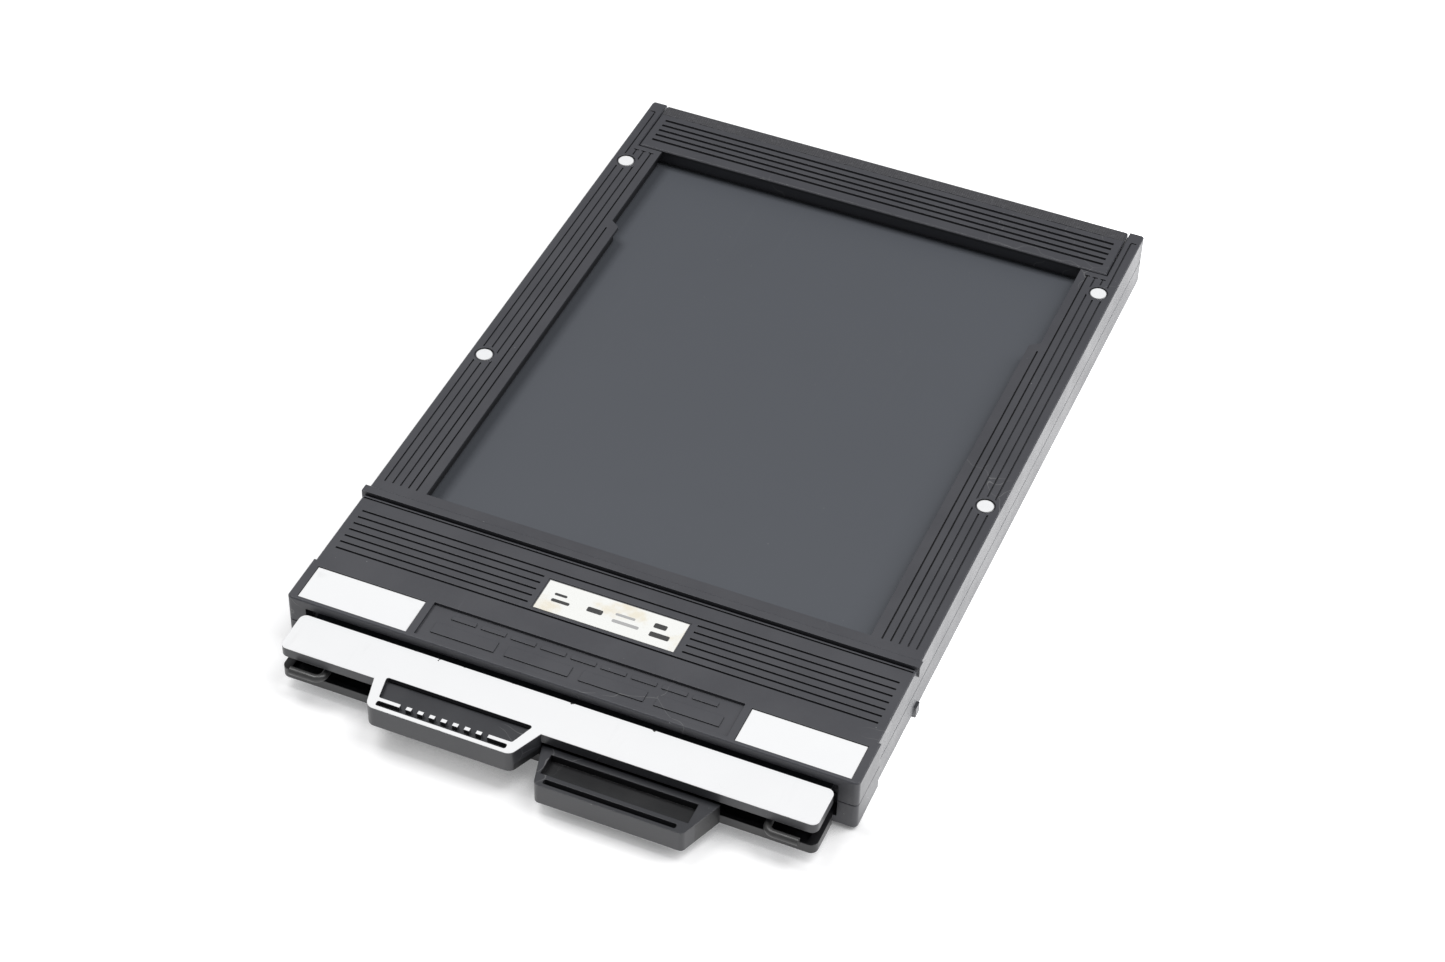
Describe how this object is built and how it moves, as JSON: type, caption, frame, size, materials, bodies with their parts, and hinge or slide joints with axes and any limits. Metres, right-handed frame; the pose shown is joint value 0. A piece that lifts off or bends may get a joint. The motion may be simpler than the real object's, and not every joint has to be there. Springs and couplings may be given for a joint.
{
  "type": "sheet film holder",
  "caption": "Flat double-sided sheet film holder with pull-out dark slides, finger-tab handles, grooved hinged loading flaps, turning wire latches and a raised lock rib.",
  "frame": {"origin": "centre of the overall box, on the plane of the lower lock rib's crest", "axes": "+X across the holder, to the right seen from the handles; +Y from the handles to the loading flaps; +Z out of the upper film side"},
  "size_m": [0.1208, 0.197, 0.0142],
  "materials": {
    "body_plastic": "moulded, fine matt grain",
    "handle_plastic": "moulded, satin",
    "slide_sheet": "smooth satin sheet, cool grey",
    "white_facing": "white, thin, slightly worn at its edge",
    "label_white": "matt white, for pencil",
    "sticker_cream": "cream, aged",
    "rivet_white": "white rivet heads",
    "septum_black": "matt black anodised sheet",
    "guide_black": "matt black",
    "latch_black": "dark wire, semi-gloss",
    "spring_steel": "thin spring strip",
    "pin_steel": "plain",
    "velvet_black": "black pile",
    "tape_black": "black cloth tape"
  },
  "bodies": {
    "holder": {"upper_shell": "body_plastic", "lower_shell": "body_plastic", "septum_plate": "septum_black", "frame_rivets": "rivet_white", "upper_left_film_guide": "guide_black", "upper_right_film_guide": "guide_black", "lower_left_film_guide": "guide_black", "lower_right_film_guide": "guide_black", "upper_light_trap_velvet": "velvet_black", "lower_light_trap_velvet": "velvet_black", "upper_light_trap_spring": "spring_steel", "lower_light_trap_spring": "spring_steel", "upper_left_writing_label": "label_white", "upper_right_writing_label": "label_white", "lower_left_writing_label": "label_white", "lower_right_writing_label": "label_white", "upper_size_sticker": "sticker_cream", "lower_size_sticker": "sticker_cream"},
    "upper_slide": {"upper_slide_plate": "slide_sheet", "upper_slide_handle": "handle_plastic", "upper_handle_facing": "white_facing", "upper_handle_pins": "pin_steel"},
    "lower_slide": {"lower_slide_plate": "slide_sheet", "lower_slide_handle": "handle_plastic", "lower_handle_facing": "white_facing", "lower_handle_pins": "pin_steel"},
    "left_latch": {"left_latch": "latch_black"},
    "right_latch": {"right_latch": "latch_black"},
    "upper_flap": {"upper_loading_flap": "body_plastic", "upper_hinge_tape": "tape_black"},
    "lower_flap": {"lower_loading_flap": "body_plastic", "lower_hinge_tape": "tape_black"}
  },
  "joints": [
    {"name": "upper_slide_pull", "type": "slide", "parent": "holder", "child": "upper_slide", "axis": [0, -1, 0], "range_m": [0, 0.17]},
    {"name": "lower_slide_pull", "type": "slide", "parent": "holder", "child": "lower_slide", "axis": [0, -1, 0], "range_m": [0, 0.17]},
    {"name": "left_latch_turn", "type": "hinge", "parent": "holder", "child": "left_latch", "pos_m": [-0.0465, -0.0785, 0.0071], "axis": [0, 1, 0], "continuous": true},
    {"name": "right_latch_turn", "type": "hinge", "parent": "holder", "child": "right_latch", "pos_m": [0.0465, -0.0785, 0.0071], "axis": [0, 1, 0], "continuous": true},
    {"name": "upper_flap_hinge", "type": "hinge", "parent": "holder", "child": "upper_flap", "pos_m": [0, 0.098, 0.0071], "axis": [-1, 0, 0], "range_deg": [0, 90]},
    {"name": "lower_flap_hinge", "type": "hinge", "parent": "holder", "child": "lower_flap", "pos_m": [0, 0.098, 0.0071], "axis": [1, 0, 0], "range_deg": [0, 90]}
  ]
}
